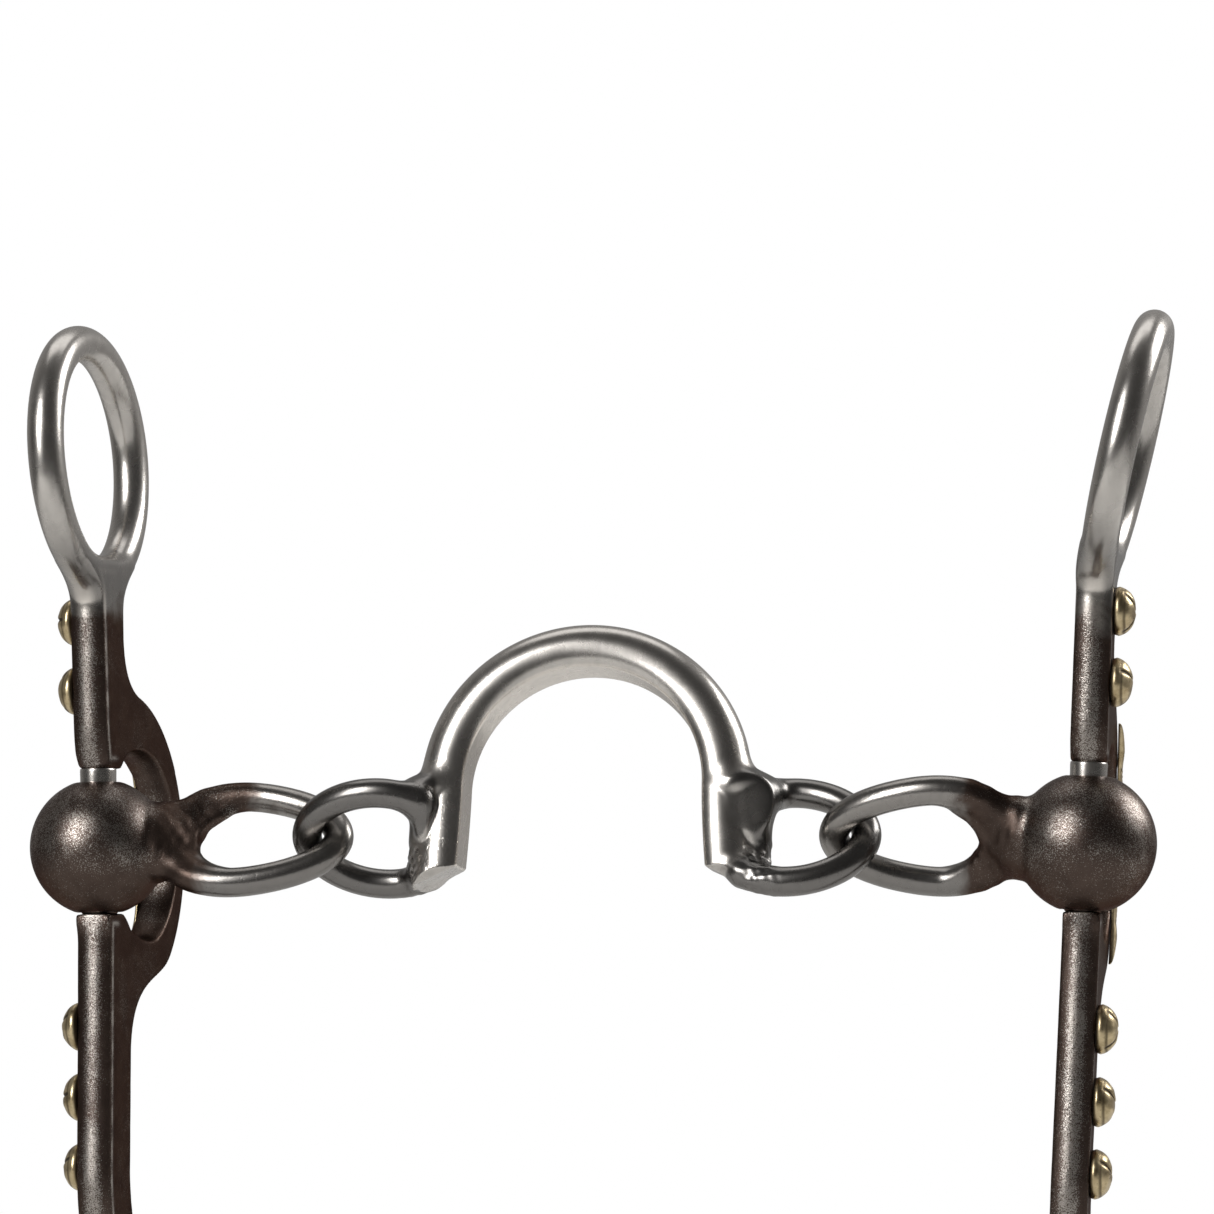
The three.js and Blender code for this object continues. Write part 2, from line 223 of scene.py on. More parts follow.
def skin(field, low, high, cell, rounds=2):
    """(points, quads) of the field's zero surface inside the box."""
    low, high = np.asarray(low, float), np.asarray(high, float)
    # the field is worked out on a coarse grid first, then finely only near the surface
    coarse = 4
    blocks = np.ceil((high - low) / (cell * coarse)).astype(int) + 1
    n = blocks * coarse
    wide = [low[i] + cell * (coarse * np.arange(blocks[i]) + (coarse - 1) / 2) for i in range(3)]
    rough = field(np.stack(np.meshgrid(*wide, indexing="ij"), -1).reshape(-1, 3)).reshape(blocks)
    d = np.repeat(np.repeat(np.repeat(rough, coarse, 0), coarse, 1), coarse, 2)
    close = np.nonzero(np.abs(d) < cell * coarse * 1.5)
    fine = low + cell * np.stack(close, 1)
    step = 200000
    values = [field(fine[k : k + step]) for k in range(0, len(fine), step)]
    d[close] = np.concatenate(values)

    # each cell that the surface crosses gets one point, the mean of its edge crossings
    total, count = np.zeros((*n, 3)), np.zeros(n)
    crossings = []
    for a in range(3):
        first = tuple(slice(0, -1) if i == a else slice(None) for i in range(3))
        second = tuple(slice(1, None) if i == a else slice(None) for i in range(3))
        d0, d1 = d[first], d[second]
        at = np.stack(np.nonzero((d0 < 0) != (d1 < 0)), 1)
        v0, v1 = d0[tuple(at.T)], d1[tuple(at.T)]
        place = at.astype(float)
        place[:, a] += v0 / (v0 - v1)
        b, c = (a + 1) % 3, (a + 2) % 3
        corners = []
        for db, dc in ((0, 0), (1, 0), (1, 1), (0, 1)):
            cube = at.copy()
            cube[:, b] -= db
            cube[:, c] -= dc
            np.add.at(total, tuple(cube.T), place)
            np.add.at(count, tuple(cube.T), 1)
            corners.append(cube)
        crossings.append((np.stack(corners, 1), v0 < 0))
    used = count > 0
    index = np.full(n, -1)
    index[used] = np.arange(used.sum())
    points = low + cell * total[used] / count[used][:, None]
    quads = []
    for corners, inside in crossings:
        q = index[corners[..., 0], corners[..., 1], corners[..., 2]]
        q[~inside] = q[~inside][:, ::-1]
        quads.append(q)
    quads = np.concatenate(quads)

    # even the points out along the surface, and put them back exactly on it
    sides = np.concatenate([quads[:, [i, (i + 1) % 4]] for i in range(4)])
    degree = np.bincount(sides[:, 0], minlength=len(points))[:, None]
    for _ in range(rounds):
        pull = np.zeros_like(points)
        for i in range(3):
            pull[:, i] = np.bincount(sides[:, 0], points[sides[:, 1], i], minlength=len(points))
        points = 0.45 * points + 0.55 * pull / degree
        slope = gradient(field, points)
        shift = field(points)[:, None] * slope / np.maximum((slope**2).sum(1), 0.25)[:, None]
        points = points - np.clip(shift, -cell, cell)
    return points, quads


def convexity(field, points, depth=0.7):
    """(edge, crevice): how far each point lies on a convex edge or in a hollow, 0 to 1."""
    slope = gradient(field, points)
    normal = slope / np.maximum(np.linalg.norm(slope, axis=1), 1e-6)[:, None]
    edge = np.clip(1 + field(points - normal * depth) / depth, 0, 1)
    crevice = np.clip(1 - field(points + normal * depth) / depth, 0, 1)
    return edge, crevice


# ---- making objects ----
def piece(name, points, faces, body, nodes, material, facts):
    """One mesh from points in millimetres, riding on a body in place of its CAD nodes."""
    mesh = bpy.data.meshes.new(name)
    points = np.asarray(points, float) * MM
    mesh.from_pydata(points.tolist(), [], [list(map(int, f)) for f in faces])
    for key, values in facts.items():
        layer = mesh.attributes.new(key, "FLOAT", "POINT")
        layer.data.foreach_set("value", np.asarray(values, np.float32))
    mesh.polygons.foreach_set("use_smooth", [True] * len(mesh.polygons))
    mesh.update()
    mesh.materials.append(material)
    made = bpy.data.objects.new(name, mesh)
    bpy.context.scene.collection.objects.link(made)
    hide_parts(*nodes)
    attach(made, body)
    return made


def grid_faces(rows, columns, wrap_rows=False, wrap_columns=True):
    """Four-sided faces between neighbouring rows and columns of points."""
    faces = []
    for i in range(rows if wrap_rows else rows - 1):
        for j in range(columns if wrap_columns else columns - 1):
            a, b = i * columns + j, i * columns + (j + 1) % columns
            c, d = ((i + 1) % rows) * columns + (j + 1) % columns, ((i + 1) % rows) * columns + j
            faces.append((a, b, c, d))
    return faces


def face_outward(made):
    """Turns a closed mesh's faces outward."""
    work = bmesh.new()
    work.from_mesh(made.data)
    bmesh.ops.recalc_face_normals(work, faces=work.faces)
    work.to_mesh(made.data)
    work.free()


def steel_facts(count, **known):
    """What the steel material reads at each point; facts that aren't given are 0."""
    names = ("browned", "darkened", "edge", "crevice", "rubbed", "pitted")
    return {name: np.zeros(count) + known.get(name, 0.0) for name in names}


# ---- materials ----
# steel colours, as linear red, green and blue
WHITE = (1.0, 1.0, 1.0, 1)
# a painted reflection and painted highlight on clean steel, and also its wear
BRIGHT_WEAR_AND_HIGHLIGHT = (0.86, 0.80, 0.73, 1)
DEEP_BROWN = (0.050, 0.034, 0.027, 1)
WORN_BROWN = (0.100, 0.071, 0.058, 1)
# bare steel showing through the browning, and a painted highlight where the specks are packed
SPECK_WEAR_AND_HIGHLIGHT = (0.58, 0.54, 0.49, 1)
# painted shade in hollows, and dark weld metal
SHADE_AND_WELD_GRIME = (0.022, 0.017, 0.015, 1)
BROWN_SHEEN = (0.36, 0.30, 0.27, 1)
# brass colours
DULL_BRASS = (0.40, 0.31, 0.175, 1)
FRESH_BRASS = (0.66, 0.54, 0.335, 1)
TARNISH = (0.17, 0.12, 0.065, 1)
POLISHED_BRASS = (0.74, 0.66, 0.46, 1)
# dark patina in grooves, and painted shade under studs and overlays
PATINA_AND_SHADE = (0.035, 0.024, 0.014, 1)


class Nodes:
    """A small helper that adds shader nodes and links them."""

    def __init__(self, name):
        self.material = bpy.data.materials.new(name)
        self.material.use_nodes = True
        self.tree = self.material.node_tree
        self.shader = self.tree.nodes["Principled BSDF"]
        self.place = self.add("ShaderNodeTexCoord").outputs["Object"]

    def add(self, kind, inputs=None, **settings):
        """A new node; inputs are sockets or constants, settings are the node's own options."""
        node = self.tree.nodes.new(kind)
        for key, value in settings.items():
            setattr(node, key, value)
        for key, value in (inputs or {}).items():
            self.put(value, node.inputs[key])
        return node

    def put(self, value, socket):
        """Links a socket to the input, or sets the input to a constant."""
        if isinstance(value, bpy.types.NodeSocket):
            self.tree.links.new(value, socket)
        else:
            socket.default_value = value

    def math(self, operation, a, b, clamp=False):
        node = self.add("ShaderNodeMath", {0: a, 1: b}, operation=operation, use_clamp=clamp)
        return node.outputs[0]

    def times(self, a, b):
        return self.math("MULTIPLY", a, b)

    def plus(self, a, b, clamp=False):
        return self.math("ADD", a, b, clamp)

    def band(self, value, low, high, to_low=0.0, to_high=1.0):
        """A smooth step of value, from to_low at low to to_high at high."""
        inputs = {"Value": value, "From Min": low, "From Max": high}
        inputs.update({"To Min": to_low, "To Max": to_high})
        node = self.add("ShaderNodeMapRange", inputs, interpolation_type="SMOOTHSTEP")
        return node.outputs["Result"]

    def noise(self, scale, detail=3.0, rough=0.55, stretch=(1, 1, 1), warp=0.0):
        """Object-space noise from 0 to 1, with about scale features to the metre."""
        place = self.place
        if stretch != (1, 1, 1):
            place = self.add("ShaderNodeMapping", {"Vector": place, "Scale": stretch}).outputs[0]
        settings = {"Vector": place, "Scale": scale, "Detail": detail, "Roughness": rough}
        settings["Distortion"] = warp
        return self.add("ShaderNodeTexNoise", settings).outputs["Fac"]

    def fact(self, name):
        """A value stored on the mesh's points."""
        return self.add("ShaderNodeAttribute", attribute_name=name).outputs["Fac"]

    def blend(self, factor, a, b):
        """Colour a where factor is 0, colour b where it is 1."""
        node = self.add("ShaderNodeMix", data_type="RGBA")
        for socket, value in ((node.inputs[0], factor), (node.inputs[6], a), (node.inputs[7], b)):
            self.put(value, socket)
        return node.outputs[2]

    def bump(self, height, distance, strength=1.0, under=None):
        """Relief of that depth in metres, laid over another bump if one is given."""
        settings = {"Height": height, "Distance": distance, "Strength": strength}
        if under is not None:
            settings["Normal"] = under
        return self.add("ShaderNodeBump", settings).outputs["Normal"]

    def out(self, **sockets):
        """Puts values on the shader's sockets and returns the material."""
        for name, value in sockets.items():
            self.put(value, self.shader.inputs[name.replace("_", " ")])
        return self.material


def steel(name, light, dark, roughness):
    """Forged steel; facts on the mesh say where it is browned, darkened, worn or hollow, and where
    highlight and shade are painted in.
    """
    n = Nodes(name)
    patches = n.noise(140, 4, 0.6, warp=0.6)
    cloud = n.noise(420, 1.0, 0.4)
    grain = n.noise(5200, 2, 0.7)
    speck = n.noise(6200, 2, 0.7)
    hairs = n.noise(900, 4, 0.6, stretch=(1, 1, 0.07))

    # the browning's border is ragged where the fact is between 0 and 1
    told = n.fact("browned")
    unsettled = n.times(n.times(told, n.math("SUBTRACT", 1.0, told)), 4.4)
    drift = n.math("SUBTRACT", patches, 0.5)
    browned = n.plus(told, n.times(drift, unsettled))
    browned = n.band(browned, 0.30, 0.70)
    edge = n.band(n.fact("edge"), 0.18, 0.75)
    crevice = n.band(n.fact("crevice"), 0.12, 0.8)

    # clean steel, faintly streaked along its length, and painted lighter: a painted reflection on
    # the arch's flat inner side, a painted highlight on the links' upper halves, and wear on the
    # cheeks' near edges
    clean = n.blend(n.band(n.fact("darkened"), 0.2, 0.8), (*light, 1), (*dark, 1))
    clean = n.blend(n.times(n.fact("rubbed"), 0.8), clean, BRIGHT_WEAR_AND_HIGHLIGHT)
    clean = n.blend(n.band(hairs, 0.40, 0.75, 0.0, 0.16), clean, (*[c * 0.62 for c in dark], 1))
    # browning, rubbed through to bright steel in fine specks, most of all along edges; the specks
    # are packed thickest where highlights fall, a painted highlight
    rubbed = n.plus(speck, n.times(drift, 0.45))
    rubbed = n.plus(rubbed, n.times(edge, 0.16))
    rubbed = n.plus(rubbed, n.times(n.fact("rubbed"), 0.21))
    rubbed = n.band(rubbed, 0.66, 0.79)
    bright = n.times(rubbed, n.band(edge, 0.0, 1.0, 0.55, 0.95))
    brown = n.blend(bright, n.blend(cloud, DEEP_BROWN, WORN_BROWN), SPECK_WEAR_AND_HIGHLIGHT)
    colour = n.blend(browned, clean, brown)
    # painted shade: hollows and creases are darkened nearly to black; at the rein ring's butt weld
    # and across the links' necks the same colour is dark weld metal
    colour = n.blend(n.times(crevice, 0.85), colour, SHADE_AND_WELD_GRIME)

    # roughness: smooth where it is clean, a little rougher where it is brown or hollow
    streaks = n.plus(cloud, n.times(hairs, 0.35))
    smooth = n.band(streaks, 0.4, 0.9, roughness, roughness + 0.03)
    rough_brown = n.band(rubbed, 0.0, 1.0, 0.37, 0.29)
    mixed = n.add("ShaderNodeMix", {0: browned, 2: smooth, 3: rough_brown}).outputs[0]
    mixed = n.plus(mixed, n.times(crevice, 0.3), clamp=True)

    # relief, in metres: drawn hairlines, the browning's grain, and pits
    pits = n.band(n.noise(1500, 3, 0.6), 0.52, 0.72)
    pits = n.times(pits, n.plus(n.fact("pitted"), n.times(browned, 0.35)))
    relief = n.bump(hairs, 0.000012, 0.5)
    relief = n.bump(n.times(grain, browned), 0.00005, 0.8, relief)
    relief = n.bump(pits, -0.00004, 0.8, relief)
    # an oily film over the browning gives its highlights a neutral, speckled sheen
    film = n.times(browned, n.band(speck, 0.35, 0.65, 0.2, 1.0))
    film = n.times(film, n.band(n.fact("rubbed"), 0.2, 1.0, 0.15, 1.0))
    sheen = n.blend(browned, WHITE, BROWN_SHEEN)
    n.out(Coat_Weight=film, Coat_Roughness=0.24, Coat_Normal=relief, Specular_Tint=sheen)
    return n.out(Base_Color=colour, Roughness=mixed, Metallic=1.0, Normal=relief)


def brass(name):
    """Engraved brass, antiqued dark in its grooves and rubbed bright on its high places."""
    n = Nodes(name)
    cloud = n.noise(500, 4, 0.6, warp=0.4)
    speck = n.noise(2600, 3, 0.7)
    groove = n.band(n.fact("crevice"), 0.1, 0.75)
    high = n.times(n.band(n.fact("edge"), 0.4, 1.0), 0.5)
    tone = n.blend(n.band(cloud, 0.3, 0.7), DULL_BRASS, FRESH_BRASS)
    tone = n.blend(n.band(speck, 0.58, 0.72, 0.0, 0.5), tone, TARNISH)
    tone = n.blend(high, tone, POLISHED_BRASS)
    # dark patina in the engraved grooves; at the studs' feet and the overlay's sides the same
    # colour is painted shade
    tone = n.blend(n.times(groove, 0.92), tone, PATINA_AND_SHADE)
    rough = n.band(n.plus(cloud, n.times(groove, 0.6)), 0.3, 1.0, 0.27, 0.52)
    relief = n.bump(cloud, 0.00005, 0.5)
    relief = n.bump(speck, 0.00002, 0.5, relief)
    return n.out(Base_Color=tone, Roughness=rough, Metallic=1.0, Normal=relief)


bit_steel = steel("bit_steel", light=(0.56, 0.53, 0.495), dark=(0.21, 0.20, 0.19), roughness=0.25)
antique_brass = brass("antique_brass")


# ---- the port with its two welded loops: one solid body of steel ----
def loop_curve(half, tip, tilt, count=150):
    """The centre line of a chain loop drawn along -X; half holds [distance, half height] pairs."""
    up = np.array([0, math.sin(tilt), math.cos(tilt)])
    middle = np.array([0, 0, LOOP_AXIS_Z])
    upper = [middle + [-d, 0, 0] + up * h for d, h in half]
    lower = [middle + [-d, 0, 0] - up * h for d, h in reversed(half)]
    return spline([*upper, middle + [-tip, 0, 0], *lower], count)


def port_loop_curve(bearing):
    """The loop welded to a leg of the port: wide open at the leg, round at its tip."""
    tip, wide = bearing + LINK_OVERLAP, LOOP_HALF_HEIGHT
    half = [
        (tip - 16.2, wide * 0.84),
        (tip - 13, wide * 0.98),
        (tip - 8.8, wide),
        (tip - 4.3, wide * 0.8),
        (tip - 1.1, wide * 0.42),
    ]
    return loop_curve(half, tip, -LOOP_TILT)


def ball_loop_curve(bearing):
    """The loop welded to a ball: pear shaped, narrow where it enters the neck."""
    tip, wide = bearing - LINK_OVERLAP, LOOP_HALF_HEIGHT
    half = [
        (tip + 25.2, wide * 0.32),
        (tip + 22.6, wide * 0.6),
        (tip + 19.3, wide * 0.88),
        (tip + 14.8, wide),
        (tip + 9, wide * 0.9),
        (tip + 3.7, wide * 0.63),
        (tip + 0.9, wide * 0.32),
    ]
    return loop_curve(half, tip, LOOP_TILT)


def port_section(p):
    """(across, rise) in the arch's own section; rise is 0 on the flat inner side."""
    q = turn(p, (1, 0, 0), PORT_LEAN, (0, 0, LOOP_AXIS_Z)) - [PORT_OFFSET, 0, 0]
    x, y, z = q.T
    drop = np.maximum(PORT_CENTRE_Z - z, 0)
    # the legs curve outward as they go down, the right one more
    most = np.where(x > 0, 1.9, 1.1) * PORT_LEG_SPLAY
    splay = most * np.clip(drop / PORT_LEG_LENGTH, 0, 1) ** 1.6
    arch = np.hypot(x, z - PORT_CENTRE_Z)
    return y, np.where(z > PORT_CENTRE_Z, arch, np.abs(x) - splay) - PORT_INNER_RADIUS


def port_bar(p):
    """The D-section arch, flat side inward, leaning back, with slanting end cuts."""
    y, rise = port_section(p)
    half, tall = PORT_DEPTH / 2, PORT_THICKNESS - PORT_BULGE_HEIGHT
    across, high = np.abs(y) / half, np.abs(rise - PORT_BULGE_HEIGHT) / tall
    r = (across**PORT_FULLNESS + high**PORT_FULLNESS) ** (1 / PORT_FULLNESS)
    power = PORT_FULLNESS - 1
    slope = np.hypot(across**power / half, high**power / tall)
    bulge = (r - 1) * np.maximum(r, 0.3) ** power / np.maximum(slope, 0.02)
    bar = overlap(bulge, -rise, 0.35)
    # the legs end in a slanting cut, and their front lower edges are ground away
    outward = np.abs(p[:, 0] - PORT_OFFSET) - PORT_INNER_RADIUS
    back = p[:, 1] + PORT_DEPTH / 2
    right_leg = p[:, 0] > 0
    cut = PORT_END_Z - 0.43 * outward - 0.08 * back
    facet = PORT_END_Z - 0.9 - np.where(right_leg, 0.0, 0.2) * outward
    facet = facet - np.where(right_leg, 0.8, 1.0) * back
    bar = overlap(bar, (cut - p[:, 2]) / 1.09, 0.3)
    return overlap(bar, (facet - p[:, 2]) / 1.42, 0.3)


port_loops = {side["name"]: port_loop_curve(side["bearing"]) for side in SIDES}
# the flattened rod ends and the weld metal of each leg: centre and half sizes
LEG_WELDS = {
    "left": [
        ((-22.5, -3.0, 4.2), (1.4, 1.9, 3.9)),
        ((-24.2, -1.9, 6.6), (2.0, 1.9, 2.4)),
        ((-23.6, 0.6, 0.5), (1.5, 2.4, 4.6)),
        ((-24.0, 2.2, -3.6), (1.6, 1.7, 1.7)),
    ],
    "right": [
        ((21.7, -1.7, 5.2), (3.2, 2.3, 3.8)),
        ((23.3, 0.2, 6.1), (2.3, 3.2, 3.2)),
        ((24.2, 2.2, 6.8), (2.2, 2.4, 2.3)),
        ((22.8, 0.0, 0.4), (2.3, 2.5, 5.0)),
        ((23.4, -2.0, -3.7), (1.8, 1.8, 1.7)),
    ],
}
WELD_BLEND = 2.2
# the right weld was ground to a flat gusset that faces forward and a little outward
GUSSET_POINT = np.array([22.0, -2.9, 4.0])
GUSSET_NORMAL = np.array([0.20, -0.97, 0.14])
# a box round the arch and its loops, a little larger than they are
MOUTHPIECE_LOW, MOUTHPIECE_HIGH = [-43.0, -10.5, -10.5], [42.0, 12.5, 32.5]
MOUTHPIECE_CELL = 0.24


def port_loop_fields(p):
    """(left, right) distances to the two welded loops."""
    made = []
    for side in SIDES:
        q = p * HALF_TURN if side["out"] > 0 else p
        made.append(curve_distance(q, port_loops[side["name"]]) - WIRE_RADIUS)
    return made


def mouthpiece(p):
    """The arch with both loops; the welds have wide fillets above and below, a crevice between."""
    z = p[:, 2]
    d = port_bar(p)
    fillet = 0.35 + 3.0 * ramp(z, 6.2, 9.2) + 1.6 * ramp(z, 0.6, -1.6)
    for (name, welds), rod in zip(LEG_WELDS.items(), port_loop_fields(p)):
        blobs = [ellipsoid(p, np.array(centre), np.eye(3), size) for centre, size in welds]
        lump = functools.reduce(lambda a, b: unite(a, b, WELD_BLEND), blobs)
        if name == "right":
            lump = overlap(lump, (p - GUSSET_POINT) @ GUSSET_NORMAL, 0.5)
        d = unite(d, unite(rod, lump, WELD_BLEND), fillet)
    # the weld metal is uneven, and rougher low down
    weld = np.exp(-(((np.abs(p[:, 0]) - 24.2) / 2.2) ** 2))
    low = ramp(z, 1.5, -1.5)
    return d + weld * (0.03 * ripple(p, 3.0, 5) + 0.09 * low * ripple(p, 1.5, 6))


def build_mouthpiece():
    points, quads = skin(mouthpiece, MOUTHPIECE_LOW, MOUTHPIECE_HIGH, MOUTHPIECE_CELL)
    x, y, z = points.T
    edge, crevice = convexity(mouthpiece, points)
    off_bar = ramp(port_bar(points), 0.15, 1.2)
    gusset = np.exp(-(((x - 22.5) / 3) ** 2 + ((z - 5) / 5) ** 2))
    # the left leg's front is pitted
    patch = np.exp(-(((x + 21.5) / 2.5) ** 2 + ((z - 3) / 9) ** 2)) * (y < 0)
    facts = steel_facts(
        len(points),
        darkened=(0.95 - 0.55 * gusset) * off_bar,
        edge=edge,
        # the creases of the welds are darkened, a painted shade
        crevice=crevice * ramp(np.abs(x), 17.5, 19.5),
        # the arch's flat inner side is painted lighter, a painted reflection of the floor
        rubbed=ramp(port_section(points)[1], 0.45, 0.1),
        pitted=patch,
    )
    nodes = ["port_bar", "left_port_loop", "right_port_loop"]
    piece("mouthpiece_steel", points, quads, "mouthpiece", nodes, bit_steel, facts)


# ---- each ball with the loop welded to it ----
LINK_CELL = 0.3


def build_link(side):
    """A bored ball, its neck of weld metal and its loop; the right one is the left's half turn."""
    name, out, bearing = side["name"], side["out"], side["bearing"]
    curve = ball_loop_curve(bearing)
    centre = np.array([-(bearing - LINK_OVERLAP + BALL_LINK_LENGTH), 0, 0])
    lean = math.radians(side["lean"]) * -out
    bore = np.array([math.sin(lean), 0, math.cos(lean)])
    # the loop's plane holds X and up
    up = np.array([0, math.sin(LOOP_TILT), math.cos(LOOP_TILT)])
    across = np.array([0, math.cos(LOOP_TILT), -math.sin(LOOP_TILT)])
    bead_height = 0.09 if out > 0 else 0.04

    def ball(p):
        q = p - centre
        height = q @ bore
        from_bore = np.linalg.norm(q - height[:, None] * bore, axis=1)
        d = overlap(np.linalg.norm(q, axis=1) - BALL_RADIUS, np.abs(height) - BALL_FLAT, 0.25)
        return overlap(d, BORE_RADIUS - from_bore, 0.2)

    def field(p):
        """Distances along the neck are from the ball's centre towards the mouthpiece."""
        wire = curve_distance(p, curve) - WIRE_RADIUS
        q = p - centre - [0, 0, LOOP_AXIS_Z * 0.6]
        reach, v, w = q[:, 0], q @ up, q @ across
        # the neck: wide and thick at the ball, a thin web where the loop opens
        wide = 4.6 + 1.3 * ramp(reach, 12.0, 8.5) + 0.8 * ramp(reach, 12.5, 16.5)
        deep = 3.5 + 1.4 * ramp(reach, 12.0, 8.5) - 2.0 * ramp(reach, 10.5, 14.5)
        r = np.hypot(v / wide, w / deep)
        slope = np.hypot(v / wide**2, w / deep**2)
        neck = r * (r - 1) / np.maximum(slope, 0.02)
        neck = overlap(neck, reach - 18, 1.5)
        neck = overlap(neck, 6.0 - reach, 0.5)
        # the loop's hole is a blunt oval at the neck
        in_plane = np.stack([reach - 19.6, v, 0 * v], 1)
        opening = ellipsoid(in_plane, np.zeros(3), np.eye(3), (5.3, 4.95, 50))
        d = overlap(unite(neck, wire, 2.4), -opening, 0.9)
        # weld beads run across the neck
        near = np.exp(-(((reach - 12.2) / 3.2) ** 2))
        beads = bead_height * np.sin(2 * math.pi * (reach + 0.25 * np.abs(v)) / 1.35)
        beads = beads * ramp(wide - np.abs(v), -1, 3) * (0.5 + 0.5 * ripple(p, 7, 3))
        d = d + near * (0.10 * ripple(p, 2.9, 11 + out) + beads)
        return unite(d, ball(p), 0.9)

    tip = bearing - LINK_OVERLAP - WIRE_RADIUS
    low, high = [centre[0] - BALL_RADIUS - 1, -11, -11], [-tip + 1, 11, 12]
    points, quads = skin(field, low, high, LINK_CELL)
    edge, crevice = convexity(field, points)
    reach, z = points[:, 0] - centre[0], points[:, 2]
    # the left loop's upper strand stays dull nearly to its tip
    upper = 12.0 * ramp(z, 0, 3) * (out < 0)
    facts = steel_facts(
        len(points),
        browned=1 - ramp(reach, 11.0, 22.0 + upper),
        darkened=1.0,
        edge=edge * (1 - ramp(reach, 8, 10) * (1 - ramp(reach, 14, 18))),
        # hollows are darkened as painted shade; the band across the neck is dark weld metal
        crevice=np.maximum(crevice, 0.32 * np.exp(-(((reach - 11.5) / 2.4) ** 2))),
        # the ball has the most bright specks, and they thicken towards the top: a painted
        # highlight where the key light falls
        rubbed=(1 - 0.75 * ramp(reach, 6.5, 10.5)) * (0.2 + 0.56 * ramp(z, -7, 2)),
        pitted=0.25 * ramp(reach, 14, 20),
    )
    if out > 0:
        points = points * HALF_TURN
    nodes = [f"{name}_ball", f"{name}_ball_loop"]
    link = f"{name}_link"
    piece(f"{link}_steel", points, quads, link, nodes, bit_steel, facts)


# ---- the cheek, in its own plane: x out of the plate, y across to the crescent, z up ----
class Outline:
    """A closed outline in the cheek's plane, gathered as a polyline."""

    def __init__(self, y, z):
        self.points = [(y, z)]

    def line(self, y, z):
        self.points.append((y, z))

    def quad(self, y1, z1, y2, z2, steps=16):
        y0, z0 = self.points[-1]
        for t in np.linspace(0, 1, steps + 1)[1:]:
            a, b, c = (1 - t) ** 2, 2 * t * (1 - t), t * t
            self.points.append((a * y0 + b * y1 + c * y2, a * z0 + b * z1 + c * z2))

    def bezier(self, y1, z1, y2, z2, y3, z3, steps=20):
        y0, z0 = self.points[-1]
        for t in np.linspace(0, 1, steps + 1)[1:]:
            a, b, c, d = (1 - t) ** 3, 3 * t * (1 - t) ** 2, 3 * t * t * (1 - t), t**3
            across = a * y0 + b * y1 + c * y2 + d * y3
            self.points.append((across, a * z0 + b * z1 + c * z2 + d * z3))

    def arc(self, y, z, radius, start, end):
        steps = max(2, int(abs(end - start) * radius / 0.8))
        for t in np.linspace(start, end, steps + 1):
            self.points.append((y + radius * math.cos(t), z + radius * math.sin(t)))


def on(point, angle, distance):
    """The place at that angle and distance from a point of the cheek's plane."""
    return (point[0] + distance * math.cos(angle), point[1] + distance * math.sin(angle))


shank_middle = (SHANK_NEAR + SHANK_FAR) / 2
shank_half = (SHANK_FAR - SHANK_NEAR) / 2
bend_centre = (shank_middle + BEND_RADIUS, BEND_START)
bend_end = on(bend_centre, math.pi + BEND_ANGLE, BEND_RADIUS)
return_start = on(bend_end, BEND_ANGLE - math.pi / 2, BEND_STRAIGHT)
return_centre = on(return_start, math.pi + BEND_ANGLE, RETURN_RADIUS)
eye_centre = (return_centre[0] + RETURN_RADIUS, return_centre[1] - EYE_DROP)


def cheek_outline():
    """The plate's outline, down its near edge, round the eye and up over the crescent."""
    half, pi = LOWER_HALF_WIDTH, math.pi
    eye_join = math.acos(half / EYE_RADIUS)
    neck_top = RING_CENTRE - RING_RADIUS + 1.0
    o = Outline(SHANK_NEAR, 32.5)
    o.line(SHANK_NEAR + 0.7, 16.5)
    o.quad(SHANK_NEAR + 0.9, 14.0, -PIN_RADIUS - 0.15, PIN_TOP - 0.1)
    o.line(PIN_RADIUS + 0.15, PIN_TOP - 0.1)
    o.quad(5, SLOT_RADIUS - 0.6, SLOT_CENTRE - 2.2, SLOT_RADIUS - 0.1)
    o.arc(SLOT_CENTRE, 0, SLOT_RADIUS, math.radians(98), math.radians(-60))
    o.bezier(14, -13.3, 9.5, -12.6, 5.5, -11)
    o.line(2.8, SEAT_Z)
    o.line(SHANK_WAIST, SEAT_Z)
    o.line(SHANK_NEAR, BEND_START)
    o.arc(*bend_centre, BEND_RADIUS + shank_half, pi, pi + BEND_ANGLE)
    o.arc(*return_centre, RETURN_RADIUS - half, BEND_ANGLE, 0)
    o.arc(*eye_centre, EYE_RADIUS, pi - eye_join, 2 * pi + eye_join)
    o.arc(*return_centre, RETURN_RADIUS + half, 0, BEND_ANGLE)
    o.arc(*bend_centre, BEND_RADIUS - shank_half, pi + BEND_ANGLE, pi)
    o.line(SHANK_FAR + 0.9, -28)
    o.bezier(6.5, -18, 17, -19.2, 20.6, -15.6)
    o.arc(CRESCENT_CENTRE, 0, CRESCENT_RADIUS, math.radians(-45), math.radians(75.6))
    o.quad(SHANK_FAR + 0.3, 22.8, SHANK_FAR, 29)
    o.line(SHANK_FAR, 32.5)
    o.quad(SHANK_FAR, 36.4, 8.3, neck_top)
    o.line(-8.3, neck_top)
    o.quad(SHANK_NEAR, 36.4, SHANK_NEAR, 32.5)
    return np.array(o.points)


